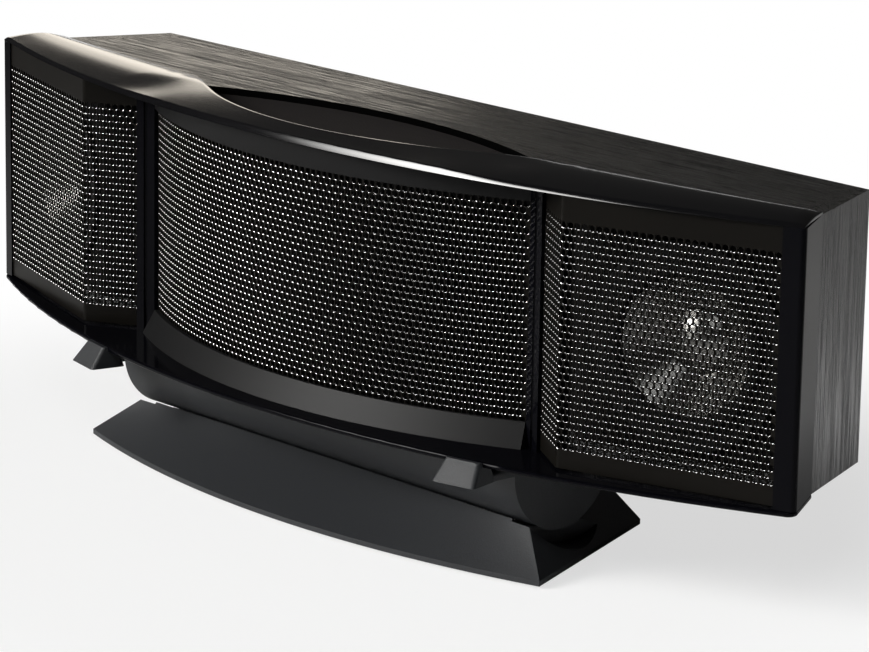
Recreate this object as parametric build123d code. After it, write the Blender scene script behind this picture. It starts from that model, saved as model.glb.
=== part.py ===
from build123d import *
import os
from math import asin, cos, degrees, hypot, pi, radians, sin, sqrt

# Center channel speaker on a tilt stand, in millimetres.
# X runs along the width, +Y to the back, +Z up. The origin lies on the floor, under the tilt axis.

# Cabinet box
cabinet_bottom = 75.3
cabinet_height = 164.7
back_y = 109.5
shoulder_y = 38.0
shoulder_inset = 21.0
back_inset = 29.0
board = 15.0
divider_board = 12.0

# Front outline
front_half_width = 376.0
front_corner_y = 2.0
top_bow_depth = 72.0
bottom_bow_depth = 89.0
plate_thickness = 3.2
plate_edge_radius = 1.2
plate_corner_radius = 6.0
post_face = 14.5
post_corner_radius = 3.0

# Top trim and the leaf-shaped vent behind it
trim_rise = 6.5
trim_end_rise = 2.0
trim_taper = 1.3
trim_rear_edge = 0.8
trim_nose = 1.2
trim_nose_depth = 14.0
lip_from_x = 60.0
lip_until_x = 118.0
leaf_half_width = 161.0
leaf_tip_y = 5.5
leaf_back_y = 40.0
leaf_front_y = -49.0
knee_run = 25.0
knee_rise = 13.5
trim_stations = 8
cloth_sink = 4.0
cloth_thickness = 2.5
cloth_tuck = 5.0
cloth_edge_gap = 1.0

# Wings: the face runs inward from the end post to a bend, then a return runs to the inner post
wing_angle = 17.0
return_angle = 30.0
return_run = 34.2
sheet = 1.2
grille_recess = 1.0
grille_lift = 1.6
grille_band = 15.0
grille_pitch = 17.0
grille_hole_radius = 6.6
baffle_depth = 18.0

# Electrostatic panel
panel_half_width = 176.7
panel_radius = 380.0
panel_end_y = -19.4
stator = 1.5
film_gap = 1.2
film = 0.3
spacer_width = 8.0
rail_height = 13.0
rail_lip = 2.0
rail_proud = 2.5
rail_depth = 10.0
rail_skirt = 8.0
panel_columns = 13
panel_pitch_z = 19.0
panel_hole_radius = 8.0
inner_post_width = 15.0
inner_post_gap = 0.4
inner_post_proud = 1.5
flute_radius = 1.4

# Woofers: the wing's length sets the size of the flange, and shares of it set the other radii
woofer_post_gap = 3.5
woofer_bend_gap = 14.5
woofer_flange = 4.0
basket_share = 0.887
basket_depth = 42.0
basket_wall = 4.0
basket_clearance = 1.0
basket_foot_share = 0.661
basket_foot_wall = 3.0
basket_window_depth = 16.8
throat_share = 0.323
roll_radius = 5.0
roll_wall = 1.0
roll_steps = 6
cap_steps = 4
cone_depth = 22.0
cone_wall = 0.8
cap_share = 0.306
cap_height = 7.0
coil_share = 0.245
coil_wall = 1.0
coil_length = 26.0
spider_height = -26.5
magnet_share = 0.613
magnet_thickness = 20.0
pole_plate = 6.0
pole_gap = 0.7
woofer_screw_count = 4
woofer_screw_head_radius = 3.2
woofer_screw_grip = 12.0
running_gap = 0.1

# Screws
screw_radius = 2.0
screw_head_radius = 3.8
screw_head_height = 2.4
screw_fit = 0.05

# Tilt rocker with its two front pads
axis_height = 61.5
rocker_radius = 38.8
rocker_half_length = 188.0
rocker_wall = 4.0
boss_radius = 5.5
boss_x = 130.0
boss_y = 20.0
boss_thread = 18.0
pad_x = 179.0
pad_overhang = 13.5
pad_drop = 9.8
pad_width = 31.0
pad_length = 24.0
pad_rake = 9.8
pad_taper = 3.2
pad_corner_radius = 2.5
pad_clearance = 0.3
arm_width = 20.0
arm_height = 6.0
arm_fillet = 3.5

# Stand
mat_thickness = 1.5
mat_inset = 8.0
base_half_width = 216.0
base_end_y = -43.5
base_bow_depth = 33.0
base_edge = 3.3
base_back_half_width = 162.0
base_back_y = 94.0
ridge_height = 30.0
ridge_half_width = 185.0
ridge_y = -24.0
ridge_bow_depth = 0.55
crown_height = 42.0
crown_y = -12.0
crown_half_width = 170.0
crown_back_half_width = 130.0
crown_back_y = 75.0
liner = 1.5
liner_clearance = 0.3
liner_half_angle = 24.0
liner_half_length = 165.0
notch_radius = 61.5
notch_y = 20.4
notch_height = 68.7
notch_from_x = 172.0

# Electrics
terminal_width = 130.0
terminal_height = 70.0
terminal_plate = 3.0
terminal_margin = 10.0
terminal_rise = 12.0
terminal_screw_grip = 12.0
binding_spacing = 19.0
binding_radius = 3.0
binding_length = 24.0
binding_collar_radius = 7.0
binding_collar = 4.0
nut_radius = 8.0
nut_length = 14.0
nut_clearance = 0.05
nut_seat_gap = 0.3
inlet_drop = 17.0
inlet_width = 24.0
inlet_height = 15.0
inlet_flange = 4.0
inlet_flange_thickness = 2.0
inlet_depth = 16.0
socket_width = 14.6
socket_height = 8.4
socket_depth = 10.0
socket_pin_radius = 1.2
socket_pin_half_spacing = 4.3
socket_pin_root = 1.0
socket_pin_recess = 1.0
circuit_width = 150.0
circuit_length = 62.0
circuit_thickness = 1.6
circuit_lift = 6.0
foot_radius = 3.0
circuit_y = 55.0
capacitor_radius = 9.0
capacitor_length = 30.0
capacitor_x = -30.0
capacitor_pitch = 21.6
inductor_radius = 14.0
inductor_height = 12.0
inductor_hole = 6.0
inductor_x = 37.5
inductor_pitch = 32.2
block_x = 125.0
transformer_width = 62.0
transformer_length = 52.0
transformer_height = 48.0
supply_width = 70.0
supply_length = 46.0
supply_height = 26.0

# Heights and places that follow from the sizes above
cabinet_top = cabinet_bottom + cabinet_height
floor_top = cabinet_bottom + board
roof = cabinet_top - board
shoulder_half_width = front_half_width - shoulder_inset
back_half_width = shoulder_half_width - back_inset
return_x = panel_half_width + inner_post_gap + inner_post_width
bend_x = return_x + return_run
plate_bottom = cabinet_bottom - plate_thickness
mid_height = cabinet_bottom + cabinet_height / 2
base_bottom = mat_thickness
cradle_radius = rocker_radius + liner_clearance + liner

wing_run = radians(wing_angle)
wing_return = radians(return_angle)
wing_length = (front_half_width - bend_x) / cos(wing_run)
bend = (bend_x, front_corner_y - wing_length * sin(wing_run))
wing_back = (-sin(wing_run), cos(wing_run))
return_back = (sin(wing_return), cos(wing_return))
baffle_back = baffle_depth + board

woofer_radius = (wing_length - post_face - woofer_post_gap - woofer_bend_gap) / 2
woofer_along = post_face + woofer_post_gap + woofer_radius
basket_radius = basket_share * woofer_radius
basket_foot_radius = basket_foot_share * woofer_radius
throat_radius = throat_share * woofer_radius
cap_radius = cap_share * woofer_radius
coil_radius = coil_share * woofer_radius
magnet_radius = magnet_share * woofer_radius

panel_axis_y = panel_end_y + sqrt(panel_radius**2 - panel_half_width**2)
panel_angle = asin(panel_half_width / panel_radius)
stack_depth = 2 * stator + 2 * film_gap + film

side_run = hypot(shoulder_half_width - back_half_width, back_y - shoulder_y)
side_slope = (back_half_width - shoulder_half_width) / (back_y - shoulder_y)
side_normal = ((back_y - shoulder_y) / side_run, (shoulder_half_width - back_half_width) / side_run)
shoulder = (shoulder_half_width, shoulder_y)
leaf_tip = (leaf_half_width, leaf_tip_y)
knee = (leaf_half_width + knee_run, leaf_tip_y + knee_rise)
seam_slope = (shoulder_y - knee[1]) / (shoulder_half_width - knee[0])
shoulder_inner = (shoulder[0] - board * side_normal[0], shoulder[1] - board * side_normal[1])

nodes = {}


def bow_y(x, half, end, bow):
    """Depth of a bowed front edge at x: an arc through both ends that leans forward by bow."""
    radius = (half**2 + bow**2) / (2 * bow)
    return end - bow + radius - sqrt(radius**2 - x**2)


def wing_point(along, depth):
    """Point of the right wing, along its face from the outer corner and behind that face."""
    return (
        front_half_width - along * cos(wing_run) + depth * wing_back[0],
        front_corner_y - along * sin(wing_run) + depth * wing_back[1],
    )


def wing_mitre(depth):
    """Where the lines that lie depth behind the wing's face and its return meet."""
    share = depth / (1 + wing_back[0] * return_back[0] + wing_back[1] * return_back[1])
    x = bend[0] + share * (wing_back[0] + return_back[0])
    y = bend[1] + share * (wing_back[1] + return_back[1])
    return (x, y)


def return_point(x, depth):
    """Point at x on the line that lies depth behind the wing's return."""
    corner = wing_mitre(depth)
    return (x, corner[1] + (corner[0] - x) * sin(wing_return) / cos(wing_return))


def side_inner_x(y):
    """Inner face of the right side panel at depth y."""
    return shoulder_inner[0] + (y - shoulder_inner[1]) * side_slope


def seam_y(x):
    """Line between the top panel and the top trim, from the leaf's tip past a knee to the shoulder."""
    if x < knee[0]:
        return leaf_tip_y + (x - leaf_half_width) * knee_rise / knee_run
    return knee[1] + (x - knee[0]) * seam_slope


def panel_point(radius, angle):
    """Point of the curved panel, at a radius and an angle from its middle."""
    return (radius * sin(angle), panel_axis_y - radius * cos(angle))


def flip(points):
    """The same outline on the left side."""
    return [(-x, y) for x, y in points]


def raised(face, low, high):
    """Upright solid over a plan face."""
    return extrude(Plane.XY.offset(low) * face, amount=high - low, dir=(0, 0, 1))


def prism(points, low, high):
    """Upright solid over a plan outline."""
    return raised(Polygon(*points, align=None), low, high)


def symmetric_prism(right, low, high):
    """Upright solid over an outline whose right half is given from back to front."""
    return prism(right + flip(right)[::-1], low, high)


def arc_outline(half, end, bow, rest):
    """Face with a bowed front edge, closed by the right side's points and their mirror images."""
    corners = [(half, end)] + rest
    outline = corners + flip(corners)[::-1]
    edges = [Line(a, b) for a, b in zip(outline, outline[1:])]
    edges.append(ThreePointArc((-half, end), (0, end - bow), (half, end)))
    return make_face(edges)


def along_x(radius, y, z, start, end):
    """Cylinder that lies along X."""
    disc = Plane.YZ.offset(start) * Pos(y, z) * Circle(radius)
    return extrude(disc, amount=end - start, dir=(1, 0, 0))


def along_y(radius, x, z, start, end):
    """Cylinder that lies along Y."""
    return Pos(x, (start + end) / 2, z) * Rot(90, 0, 0) * Cylinder(radius, end - start)


def upright(radius, x, y, low, high):
    """Cylinder that stands on end."""
    return Pos(x, y, (low + high) / 2) * Cylinder(radius, high - low)


def add_pair(name, right):
    """A right piece and its mirror image on the left."""
    nodes["right_" + name] = right
    nodes["left_" + name] = mirror(right, about=Plane.YZ)


def make_box():
    """Veneered panels, with the leaf-shaped vent cut in the top."""
    back_inner = (side_inner_x(back_y), back_y)
    side = [shoulder, (back_half_width, back_y), back_inner, shoulder_inner]
    add_pair("side_panel", prism(side, cabinet_bottom, cabinet_top))
    rear_front = back_y - board
    rear = symmetric_prism([back_inner, (side_inner_x(rear_front), rear_front)], floor_top, roof)
    window = Box(terminal_width - 2 * terminal_margin, 2 * board, terminal_height - 2 * terminal_margin)
    nodes["rear_panel"] = rear - Pos(0, back_y, mid_height) * window

    seam_start = knee[1] - knee[0] * seam_slope
    corner_x = shoulder_inner[0] + (seam_start - shoulder_inner[1]) * side_slope
    corner_x /= 1 - seam_slope * side_slope
    right = [back_inner, (corner_x, seam_y(corner_x)), knee, leaf_tip]
    left = flip(right)
    edges = [Line(a, b) for a, b in zip(right, right[1:])]
    edges += [Line(a, b) for a, b in zip(left, left[1:])]
    edges.append(Line(back_inner, left[0]))
    edges.append(ThreePointArc(leaf_tip, (0, leaf_back_y), left[-1]))
    nodes["top_panel"] = raised(make_face(edges), roof, cabinet_top)

    rail_end = panel_point(panel_radius - rail_depth, panel_angle)
    rail_front = panel_axis_y - panel_radius + rail_depth
    floor = arc_outline(
        rail_end[0],
        rail_end[1],
        rail_end[1] - rail_front,
        [
            (divider_x, rail_end[1]),
            return_point(divider_x, baffle_depth),
            wing_mitre(baffle_depth),
            wing_point(post_face, baffle_depth),
            wing_point(post_face, baffle_back),
            shoulder_inner,
            back_inner,
        ],
    )
    nodes["bottom_panel"] = raised(floor, cabinet_bottom, floor_top) - rocker_screw_holes()


def make_inside_boards():
    """Dividers and the bent baffles that carry the woofers."""
    inner_x = divider_x - divider_board
    step = seam_y(inner_x) - running_gap
    profile = [
        (inner_post_back, floor_top),
        (back_y - board, floor_top),
        (back_y - board, roof),
        (step, roof),
        (step, cabinet_top),
        (inner_post_back, cabinet_top),
    ]
    face = Plane.YZ.offset(inner_x) * Polygon(*profile, align=None)
    add_pair("divider", extrude(face, amount=divider_board, dir=(1, 0, 0)))

    baffle = prism(
        [
            wing_point(post_face, baffle_depth),
            wing_mitre(baffle_depth),
            return_point(divider_x, baffle_depth),
            return_point(divider_x, baffle_back),
            wing_mitre(baffle_back),
            wing_point(post_face, baffle_back),
        ],
        floor_top,
        cabinet_top,
    )
    cutter = woofer_place * Cylinder(basket_radius + basket_clearance, 3 * board)
    screws = woofer_place * woofer_screws(screw_radius + screw_fit, 0)
    add_pair("baffle", baffle - cutter - screws)


def make_posts():
    """Gloss uprights: the outer ones close the corners, the inner ones have a groove."""
    post = prism(
        [
            (front_half_width, front_corner_y),
            wing_point(post_face, 0),
            wing_point(post_face, baffle_back),
            shoulder_inner,
            shoulder,
        ],
        cabinet_bottom,
        cabinet_top,
    )
    corner = post.edges().filter_by(Axis.Z).sort_by(Axis.X)[-1]
    add_pair("end_post", fillet(corner, post_corner_radius))

    front_inner = panel_point(panel_radius + rail_proud, panel_angle)
    back_corner = panel_point(panel_radius - rail_depth, panel_angle)
    front_outer = (return_x, return_point(return_x, 0)[1] - inner_post_proud)
    front_inner = (front_inner[0] + inner_post_gap, front_inner[1])
    inner = prism(
        [
            front_outer,
            front_inner,
            (back_corner[0] + inner_post_gap, inner_post_back),
            (return_x, inner_post_back),
        ],
        cabinet_bottom,
        cabinet_top,
    )
    groove_x = (front_inner[0] + front_outer[0]) / 2
    groove_y = (front_inner[1] + front_outer[1]) / 2
    add_pair("inner_post", inner - upright(flute_radius, groove_x, groove_y, cabinet_bottom, cabinet_top))


def hexagons(columns, rows, pitch_x, pitch_z, radius):
    """Staggered hexagons on a flat sketch, centred on its origin."""
    spots = [
        Pos((i - (columns - 1) / 2 + (j % 2 - 0.5) / 2) * pitch_x, (j - (rows - 1) / 2) * pitch_z)
        for i in range(columns)
        for j in range(rows)
    ]
    return Sketch() + [spot * RegularPolygon(radius, 6, rotation=30) for spot in spots]


def make_grilles():
    """Bent perforated sheet with plain bands along its top and bottom."""
    front = grille_recess
    back = grille_recess + sheet
    low = cabinet_bottom + grille_lift
    sheet_body = prism(
        [
            wing_point(post_face, front),
            wing_mitre(front),
            return_point(return_x, front),
            return_point(return_x, back),
            wing_mitre(back),
            wing_point(post_face, back),
        ],
        low,
        cabinet_top,
    )
    row_pitch = grille_pitch * sqrt(3) / 2
    open_height = cabinet_height - 2 * grille_band - 2 * grille_hole_radius
    rows = int(open_height / row_pitch) + 1
    face_length = wing_length - post_face
    columns = int((face_length - 2 * grille_hole_radius) / grille_pitch)
    middle = wing_point(post_face + face_length / 2, 0)
    face_plane = Plane(
        origin=(*middle, mid_height),
        x_dir=(cos(wing_run), sin(wing_run), 0),
        z_dir=(sin(wing_run), -cos(wing_run), 0),
    )
    holes = face_plane * hexagons(columns, rows, grille_pitch, row_pitch, grille_hole_radius)
    through = baffle_depth / 2
    sheet_body -= extrude(holes, amount=through, both=True)

    return_end = return_point(return_x, 0)
    middle = ((bend[0] + return_end[0]) / 2, (bend[1] + return_end[1]) / 2)
    return_length = hypot(bend[0] - return_end[0], bend[1] - return_end[1])
    columns = int((return_length - 2 * grille_hole_radius) / grille_pitch)
    return_plane = Plane(
        origin=(*middle, mid_height),
        x_dir=(cos(wing_return), -sin(wing_return), 0),
        z_dir=(-sin(wing_return), -cos(wing_return), 0),
    )
    holes = return_plane * hexagons(columns, rows, grille_pitch, row_pitch, grille_hole_radius)
    add_pair("grille", sheet_body - extrude(holes, amount=through, both=True))


def panel_band(inner, outer, half_angle, low, high):
    """Curved sheet about the panel's axis, between two radii and two heights."""
    a = [panel_point(outer, t) for t in (-half_angle, 0, half_angle)]
    b = [panel_point(inner, t) for t in (-half_angle, 0, half_angle)]
    edges = [ThreePointArc(*a), Line(a[2], b[2]), ThreePointArc(*b), Line(b[0], a[0])]
    return raised(make_face(edges), low, high)


def panel_holes():
    """Rows of hexagonal holes, each square to the curved sheet."""
    open_height = cabinet_height - 2 * (rail_height + rail_lip) - 2 * panel_hole_radius
    rows = int(open_height / panel_pitch_z) + 1
    step = 2 * (panel_angle - spacer_width / panel_radius) / panel_columns
    cuts = []
    for column in range(panel_columns):
        angle = (column - (panel_columns - 1) / 2) * step
        place = Plane(
            origin=(*panel_point(panel_radius, angle), mid_height),
            x_dir=(cos(angle), sin(angle), 0),
            z_dir=(sin(angle), -cos(angle), 0),
        )
        stagger = (column % 2 - 0.5) * panel_pitch_z / 2
        spots = [Pos(0, (j - (rows - 1) / 2) * panel_pitch_z + stagger) for j in range(rows)]
        column_face = Sketch() + [spot * RegularPolygon(panel_hole_radius, 6) for spot in spots]
        cuts.append(extrude(place * column_face, amount=2 * stack_depth, both=True))
    return cuts


def make_panel():
    """Two perforated stators with a film between them, held by strips and rails."""
    low = cabinet_bottom + rail_height
    high = cabinet_top - rail_height
    front_inner = panel_radius - stator
    stack_inner = panel_radius - stack_depth
    rear_outer = stack_inner + stator
    holes = panel_holes()
    nodes["front_stator"] = panel_band(front_inner, panel_radius, panel_angle, low, high) - holes
    nodes["rear_stator"] = panel_band(stack_inner, rear_outer, panel_angle, low, high) - holes
    film_outer = front_inner - film_gap
    film_inner = film_outer - film
    nodes["diaphragm"] = panel_band(film_inner, film_outer, panel_angle, low, high)
    inset = panel_angle - spacer_width / panel_radius
    window_low = low + spacer_width
    window_high = high - spacer_width
    strips = []
    for inner, outer in ((rear_outer, film_inner), (film_outer, front_inner)):
        strip = panel_band(inner + running_gap, outer - running_gap, panel_angle, low, high)
        strips.append(strip - panel_band(inner, outer, inset, window_low, window_high))
    nodes["stator_spacers"] = Compound(children=strips)

    rail_outer = panel_radius + rail_proud
    rail_inner = panel_radius - rail_depth
    top = panel_band(rail_inner, rail_outer, panel_angle, high, cabinet_top)
    top += panel_band(panel_radius, rail_outer, panel_angle, high - rail_lip, high)
    nodes["top_rail"] = top
    bottom = panel_band(rail_inner, rail_outer, panel_angle, cabinet_bottom, low)
    bottom += panel_band(panel_radius, rail_outer, panel_angle, low, low + rail_lip)
    skirt = [
        (rail_outer, low + rail_lip),
        (rail_outer + rail_skirt, cabinet_bottom),
        (rail_outer, cabinet_bottom),
    ]
    start = Plane(
        origin=(0, panel_axis_y, 0),
        x_dir=(sin(-panel_angle), -cos(panel_angle), 0),
        z_dir=(-cos(panel_angle), sin(panel_angle), 0),
    )
    profile = start * Polygon(*skirt, align=None)
    axis = Axis((0, panel_axis_y, 0), (0, 0, 1))
    nodes["bottom_rail"] = bottom + revolve(profile, axis, revolution_arc=2 * degrees(panel_angle))


def trim_section(x):
    """Upright section of the top trim at x: a round nose, a soft crown, then a lip or a thin edge."""
    front = bow_y(x, front_half_width, front_corner_y, top_bow_depth)
    rear = seam_y(x)
    if x < leaf_half_width:
        rear = bow_y(x, leaf_half_width, leaf_tip_y, leaf_tip_y - leaf_front_y)
    share = min(max((x - lip_from_x) / (lip_until_x - lip_from_x), 0), 1)
    share = share * share * (3 - 2 * share)
    rise = trim_rise + (trim_end_rise - trim_rise) * (x / front_half_width) ** trim_taper
    rear_height = rise + share * (trim_rear_edge - rise)
    nose = (front, cabinet_top + trim_nose)
    crest = (front + trim_nose_depth, cabinet_top + rise)
    rear_top = (rear, cabinet_top + rear_height)
    fall = 2 * (rise - rear_height) / (rear - crest[0])
    edges = [
        Spline(nose, crest, tangents=[(0, 1), (1, 0)]),
        Spline(crest, rear_top, tangents=[(1, 0), (1, -fall)]),
        Line(rear_top, (rear, cabinet_top)),
        Line((rear, cabinet_top), (front, cabinet_top)),
        Line((front, cabinet_top), nose),
    ]
    return Plane.YZ.offset(x) * make_face(edges)


def front_outline(bow, radius):
    """Plan of a moulding over the whole front, with round front corners."""
    face = arc_outline(front_half_width, front_corner_y, bow, [shoulder])
    corners = face.vertices().sort_by(Axis.X)
    return fillet([corners[0], corners[-1]], radius)


def make_trim():
    """Bowed mouldings: the crowned cap over the front and the plate under it."""
    inner = [leaf_half_width * i / trim_stations for i in range(trim_stations)]
    outer_step = (front_half_width - knee[0]) / trim_stations
    outer = [knee[0] + outer_step * i for i in range(trim_stations + 1)]
    half = loft([trim_section(x) for x in inner + [leaf_half_width] + outer], ruled=True)
    room = raised(front_outline(top_bow_depth, post_corner_radius), cabinet_top, cabinet_top + 2 * trim_rise)
    nodes["top_trim"] = (half + mirror(half, about=Plane.YZ)) & room

    plate = raised(front_outline(bottom_bow_depth, plate_corner_radius), plate_bottom, cabinet_bottom)
    plate = fillet(plate.edges().filter_by(GeomType.CIRCLE), plate_edge_radius)
    nodes["bottom_plate"] = plate - rocker_screw_holes()


def make_vent_cloth():
    """Cloth on a thin frame, sunk in the leaf-shaped vent and tucked under the trim."""
    top = cabinet_top - cloth_sink
    tip = leaf_half_width - cloth_edge_gap
    tip_y = leaf_tip_y - cloth_edge_gap
    edges = [
        ThreePointArc((-tip, tip_y), (0, leaf_back_y), (tip, tip_y)),
        ThreePointArc((-tip, tip_y), (0, leaf_front_y - cloth_tuck), (tip, tip_y)),
    ]
    room = upright(panel_radius - rail_depth, 0, panel_axis_y, floor_top, cabinet_top)
    nodes["vent_cloth"] = raised(make_face(edges), top - cloth_thickness, top) & room


def ring(points):
    """Solid of revolution about the woofer's own axis."""
    return revolve(Plane.XZ * Polygon(*points, align=None), Axis.Z)


def woofer_screws(radius, head):
    """Screws through the woofer's flange, with a head of the given height."""
    circle = (woofer_radius + basket_radius) / 2
    solids = []
    for spot in PolarLocations(circle, woofer_screw_count, start_angle=45):
        length = woofer_flange + woofer_screw_grip
        shank = Pos(0, 0, woofer_flange - length / 2) * Cylinder(radius, length)
        if head:
            shank += Pos(0, 0, woofer_flange + head / 2) * Cylinder(woofer_screw_head_radius, head)
        solids.append(spot * shank)
    return Compound(children=solids)


def make_woofers():
    """Woofer pieces, turned about the driver's axis, with height 0 on the baffle."""
    floor = -basket_depth
    inner = basket_radius - basket_wall
    foot_inner = basket_foot_radius - basket_foot_wall
    frame = ring(
        [
            (woofer_radius, 0),
            (woofer_radius, woofer_flange),
            (inner, woofer_flange),
            (inner, 0),
            (foot_inner, floor + basket_wall),
            (throat_radius, floor + basket_wall),
            (throat_radius, floor),
            (basket_foot_radius, floor),
            (basket_radius, 0),
        ]
    )
    window = Box(2 * woofer_radius, basket_foot_radius, basket_depth / 2)
    window = Pos(woofer_radius, 0, -basket_window_depth) * window
    frame -= [Rot(0, 0, 90 * i) * window for i in range(4)]
    add_pair("woofer_frame", woofer_place * (frame - woofer_screws(screw_radius + screw_fit, 0)))

    roll = inner - roll_radius
    seat = woofer_flange
    turns = [pi * i / roll_steps for i in range(roll_steps + 1)]
    outside = [(roll + roll_radius * cos(t), seat + roll_radius * sin(t)) for t in turns]
    hollow = roll_radius - roll_wall
    inside = [(roll + hollow * cos(t), seat + hollow * sin(t)) for t in turns[::-1]]
    flange = roll + roll_radius + 3 * roll_wall
    lip = [(flange, seat), (flange, seat + roll_wall), (roll + roll_radius, seat + roll_wall)]
    add_pair("woofer_surround", woofer_place * ring(lip + outside[1:] + inside))

    rim = roll - roll_radius - running_gap
    apex = seat - cone_depth
    cone_base = coil_radius + running_gap
    cone = [(rim, seat), (rim, seat + cone_wall), (cone_base, apex + cone_wall), (cone_base, apex)]
    add_pair("woofer_cone", woofer_place * ring(cone))

    cone_slope = cone_depth / (rim - cone_base)
    cap_seat = apex + cone_wall + (cap_radius - cone_base) * cone_slope + running_gap
    radii = [cap_radius * (1 - i / cap_steps) for i in range(cap_steps + 1)]
    dome = [(r, cap_seat + cap_height * (1 - (r / cap_radius) ** 2)) for r in radii]
    shell = [(r, h + cone_wall) for r, h in dome[::-1]]
    add_pair("woofer_cap", woofer_place * ring(dome + shell))

    coil_inner = coil_radius - coil_wall
    coil_top = apex + cone_wall
    coil = [(coil_inner, coil_top), (coil_radius, coil_top)]
    coil += [(coil_radius, coil_top - coil_length), (coil_inner, coil_top - coil_length)]
    add_pair("woofer_coil", woofer_place * ring(coil))

    wall_run = (inner - foot_inner) / (basket_depth - basket_wall)
    spider_rim = inner + wall_run * (spider_height - roll_wall) - running_gap
    spider = [(cone_base, spider_height), (spider_rim, spider_height)]
    spider += [(spider_rim, spider_height + roll_wall), (cone_base, spider_height + roll_wall)]
    add_pair("woofer_spider", woofer_place * ring(spider))

    magnet_back = floor - magnet_thickness
    magnet = [(throat_radius, floor), (magnet_radius, floor)]
    magnet += [(magnet_radius, magnet_back), (throat_radius, magnet_back)]
    add_pair("woofer_magnet", woofer_place * ring(magnet))
    pole_radius = coil_inner - pole_gap
    pole = [
        (0, floor + basket_wall),
        (pole_radius, floor + basket_wall),
        (pole_radius, magnet_back),
        (magnet_radius, magnet_back),
        (magnet_radius, magnet_back - pole_plate),
        (0, magnet_back - pole_plate),
    ]
    add_pair("woofer_pole", woofer_place * ring(pole))
    add_pair("woofer_screws", woofer_place * woofer_screws(screw_radius, screw_head_height))


def rocker_screw_spots():
    """Plan places of the screws that hold the rocker."""
    return [(x, side * boss_y) for x in (-boss_x, 0, boss_x) for side in (-1, 1)]


def rocker_screw_holes():
    """Clearance for the rocker's screws through the floor, the plate and the bosses."""
    radius = screw_radius + screw_fit
    low = plate_bottom - boss_thread - screw_fit
    high = floor_top + screw_head_height
    return [upright(radius, x, y, low, high) for x, y in rocker_screw_spots()]


def make_foot():
    """Right front pad, which hooks round the plate's edge, with a low arm back to the rocker."""
    bow_radius = (front_half_width**2 + bottom_bow_depth**2) / (2 * bottom_bow_depth)
    turn = asin(pad_x / bow_radius)
    front = bow_y(pad_x, front_half_width, front_corner_y, bottom_bow_depth) - pad_overhang
    pad_low = plate_bottom - pad_drop
    across = (cos(turn), sin(turn), 0)
    rings = []
    for z, taper, near in ((pad_low, 0, 0), (cabinet_bottom, pad_taper, pad_rake)):
        far = pad_length - taper
        size = (pad_width - 2 * taper, far - near)
        plan = Pos(0, (near + far) / 2) * RectangleRounded(*size, pad_corner_radius)
        rings.append(Plane(origin=(pad_x, front, z), x_dir=across, z_dir=(0, 0, 1)) * plan)
    half = front_half_width + pad_clearance
    outline = arc_outline(half, front_corner_y - pad_clearance, bottom_bow_depth, [shoulder])
    pad = loft(rings) - raised(outline, plate_bottom, cabinet_bottom)
    arm_end = -(rocker_radius - rocker_wall / 2)
    arm_start = front + pad_length / 2
    arm = Box(arm_width, arm_end - arm_start, arm_height)
    arm = fillet(arm.edges().filter_by(Axis.Y).sort_by(Axis.Z)[-2:], arm_fillet)
    return pad + Pos(pad_x, (arm_start + arm_end) / 2, pad_low + arm_height / 2) * arm


def make_rocker():
    """Half-round trough with screw bosses, and two pads on short arms at its front."""
    lid = Box(4 * rocker_half_length, 4 * rocker_radius, 2 * rocker_radius)
    full = along_x(rocker_radius, 0, axis_height, -rocker_half_length, rocker_half_length)
    full -= Pos(0, 0, plate_bottom + rocker_radius) * lid
    inside = rocker_half_length - rocker_wall
    trough = full - along_x(rocker_radius - rocker_wall, 0, axis_height, -inside, inside)
    for x, y in rocker_screw_spots():
        trough += upright(boss_radius, x, y, axis_height - rocker_radius, plate_bottom) & full
    foot = make_foot()
    trough = trough + foot + mirror(foot, about=Plane.YZ)
    nodes["tilt_rocker"] = trough - rocker_screw_holes()

    screws = []
    for x, y in rocker_screw_spots():
        shank = upright(screw_radius, x, y, plate_bottom - boss_thread, floor_top)
        screws.append(shank + upright(screw_head_radius, x, y, floor_top, floor_top + screw_head_height))
    nodes["rocker_screws"] = Compound(children=screws)


def make_stand():
    """Bow-fronted base with leaning ends, a lined cradle across it and a rubber mat below."""
    foot = arc_outline(base_half_width, base_end_y, base_bow_depth, [(base_back_half_width, base_back_y)])
    ridge_lean = (crown_back_half_width - base_back_half_width) / (crown_height - base_bottom)
    ridge_back_half = base_back_half_width + ridge_lean * (ridge_height - base_bottom)
    back_lean = (crown_back_y - base_back_y) / (crown_height - base_bottom)
    ridge_back = base_back_y + back_lean * (ridge_height - base_bottom)
    crown_back = (crown_back_half_width, crown_back_y)
    ridge = arc_outline(ridge_half_width, ridge_y, ridge_bow_depth, [(ridge_back_half, ridge_back)])
    crown = arc_outline(crown_half_width, crown_y, ridge_bow_depth, [crown_back])
    levels = [(base_bottom, foot), (base_bottom + base_edge, foot)]
    levels += [(ridge_height, ridge), (crown_height, crown)]
    base = loft([Plane.XY.offset(z) * face for z, face in levels], ruled=True)
    end = 2 * base_half_width
    base -= along_x(cradle_radius, 0, axis_height, -end, end)
    base -= along_x(notch_radius, notch_y, notch_height, notch_from_x, end)
    base -= along_x(notch_radius, notch_y, notch_height, -end, -notch_from_x)
    nodes["base"] = base
    nodes["base_mat"] = raised(offset(foot, -mat_inset), 0, mat_thickness)

    spread = radians(liner_half_angle)
    reach = 2 * cradle_radius
    corner = (reach * sin(spread), -reach * cos(spread))
    wedge = Polygon((0, 0), corner, (-corner[0], corner[1]), align=None)
    strip = (Circle(cradle_radius) - Circle(cradle_radius - liner)) & wedge
    place = Plane.YZ.offset(-liner_half_length) * Pos(0, axis_height)
    nodes["cradle_liner"] = extrude(place * strip, amount=2 * liner_half_length, dir=(1, 0, 0))


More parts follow.
